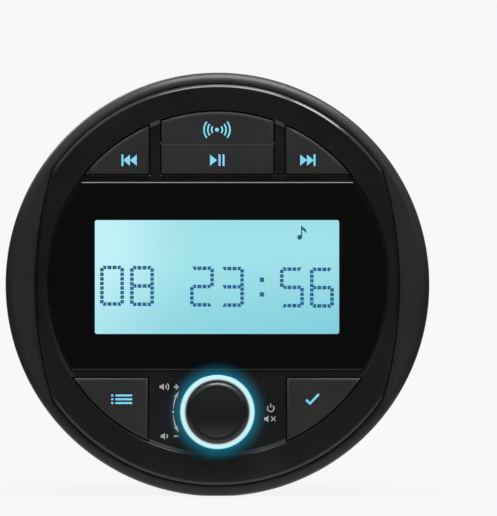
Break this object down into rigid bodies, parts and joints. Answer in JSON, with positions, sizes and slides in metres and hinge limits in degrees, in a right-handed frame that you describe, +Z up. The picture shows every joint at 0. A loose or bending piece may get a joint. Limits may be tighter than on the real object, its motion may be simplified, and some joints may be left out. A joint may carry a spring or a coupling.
{
  "type": "marine stereo",
  "caption": "Round dash-mount marine stereo: barrel-shaped face with a lit display, sliding and rocking keys and a push-turn knob, on a finned round can with a U-bracket clamp.",
  "frame": {"origin": "on the can's axis, in the plane where the gasket meets the dash", "axes": "+Z up, +Y into the dash along the can's axis, so the face looks along -Y and +X is to the right of someone facing it"},
  "size_m": [0.106, 0.0965, 0.106],
  "materials": {
    "trim_black": "fine satin moulding",
    "face_black": "satin moulding",
    "lens_black": "polished dark window",
    "lcd_lit": "lit display",
    "white_plastic": "moulded white",
    "guide_clear": "frosted acrylic",
    "lamp_white": "lamp package",
    "strip_grey": "striped elastomer",
    "board_green": "solder resist",
    "screw_steel": "zinc plated",
    "key_grey": "soft satin",
    "silicone_grey": "silicone",
    "pill_black": "carbon filled",
    "encoder_zinc": "die cast",
    "rotor_nylon": "nylon",
    "turned_steel": "turned and plated",
    "knob_black": "semi gloss",
    "ring_glow": "lit diffuser",
    "housing_black": "grained moulding",
    "seal_black": "closed cell",
    "tin_plate": "tin plate",
    "cap_blue": "sleeve",
    "chip_black": "moulded",
    "pad_grey": "filled silicone",
    "ribbon_cream": "film",
    "sink_black": "anodised casting",
    "socket_cream": "nylon",
    "pin_brass": "tin over brass",
    "jack_gold": "plated",
    "jack_white": "nylon",
    "jack_red": "nylon",
    "socket_nickel": "nickel",
    "insulator_black": "nylon",
    "bracket_steel": "stainless strip",
    "nut_brass": "turned"
  },
  "bodies": {
    "stereo": {"trim_ring": "trim_black", "faceplate": "face_black", "display_lens": "lens_black", "lcd_glass": "lcd_lit", "lcd_frame": "white_plastic", "ribbon_sockets": "white_plastic", "backlight_guide": "guide_clear", "backlight_leds": "lamp_white", "ring_leds": "lamp_white", "contact_strips": "strip_grey", "front_board": "board_green", "main_board": "board_green", "front_board_screws": "screw_steel", "front_screws": "screw_steel", "main_board_screws": "screw_steel", "rear_screws": "screw_steel", "keypad_top": "silicone_grey", "keypad_bottom": "silicone_grey", "encoder_body": "encoder_zinc", "mounting_studs": "turned_steel", "light_ring": "ring_glow", "housing": "housing_black", "face_seal": "seal_black", "panel_gasket": "seal_black", "rear_seal": "seal_black", "tuner_module": "tin_plate", "filter_capacitors": "cap_blue", "amp_chip": "chip_black", "thermal_pad": "pad_grey", "ribbon_cable": "ribbon_cream", "rear_cover": "sink_black", "harness_socket": "socket_cream", "harness_pins": "pin_brass", "jack_shells": "jack_gold", "left_jack_insulator": "jack_white", "right_jack_insulator": "jack_red", "antenna_socket": "socket_nickel", "antenna_insulator": "insulator_black"},
    "prev_key": {"prev_button": "key_grey", "prev_pill": "pill_black"},
    "rocker": {"rocker_key": "key_grey", "rocker_pills": "pill_black"},
    "next_key": {"next_button": "key_grey", "next_pill": "pill_black"},
    "mode_key": {"mode_button": "key_grey", "mode_pill": "pill_black"},
    "select_key": {"select_button": "key_grey", "select_pill": "pill_black"},
    "rotor": {"encoder_rotor": "rotor_nylon"},
    "knob": {"encoder_shaft": "turned_steel", "volume_knob": "knob_black"},
    "bracket": {"mounting_bracket": "bracket_steel", "bracket_washers": "turned_steel"},
    "left_nut": {"left_thumb_nut": "nut_brass"},
    "right_nut": {"right_thumb_nut": "nut_brass"}
  },
  "joints": [
    {"name": "prev_press", "type": "slide", "parent": "stereo", "child": "prev_key", "axis": [0, 1, 0], "range_m": [0, 0.00045], "stiffness_N_per_m": 3000, "springref_m": -0.0002, "deforming": ["keypad_top"]},
    {"name": "rocker_tip", "type": "hinge", "parent": "stereo", "child": "rocker", "pos_m": [0, -0.0174, 0.0353], "axis": [1, 0, 0], "range_deg": [-3.5, 3.5], "stiffness_Nm_per_rad": 0.15, "deforming": ["keypad_top"]},
    {"name": "next_press", "type": "slide", "parent": "stereo", "child": "next_key", "axis": [0, 1, 0], "range_m": [0, 0.00045], "stiffness_N_per_m": 3000, "springref_m": -0.0002, "deforming": ["keypad_top"]},
    {"name": "mode_press", "type": "slide", "parent": "stereo", "child": "mode_key", "axis": [0, 1, 0], "range_m": [0, 0.00045], "stiffness_N_per_m": 3000, "springref_m": -0.0002, "deforming": ["keypad_bottom"]},
    {"name": "select_press", "type": "slide", "parent": "stereo", "child": "select_key", "axis": [0, 1, 0], "range_m": [0, 0.00045], "stiffness_N_per_m": 3000, "springref_m": -0.0002, "deforming": ["keypad_bottom"]},
    {"name": "knob_turn", "type": "hinge", "parent": "stereo", "child": "rotor", "pos_m": [0, -0.0172, -0.032], "axis": [0, 1, 0], "continuous": true},
    {"name": "knob_push", "type": "slide", "parent": "rotor", "child": "knob", "axis": [0, 1, 0], "range_m": [0, 0.0005], "stiffness_N_per_m": 5000, "springref_m": -0.0002},
    {"name": "bracket_slide", "type": "slide", "parent": "stereo", "child": "bracket", "axis": [0, 1, 0], "range_m": [-0.004, 0.01]},
    {"name": "left_nut_spin", "type": "hinge", "parent": "bracket", "child": "left_nut", "pos_m": [-0.02, 0.055, 0], "axis": [0, 1, 0], "range_deg": [-1805, 4505]},
    {"name": "right_nut_spin", "type": "hinge", "parent": "bracket", "child": "right_nut", "pos_m": [0.02, 0.055, 0], "axis": [0, 1, 0], "range_deg": [-1805, 4505]}
  ],
  "couplings": [
    {"joint": "left_nut_spin", "follows": "bracket_slide", "rad_per_m": 7854},
    {"joint": "right_nut_spin", "follows": "bracket_slide", "rad_per_m": 7854}
  ]
}
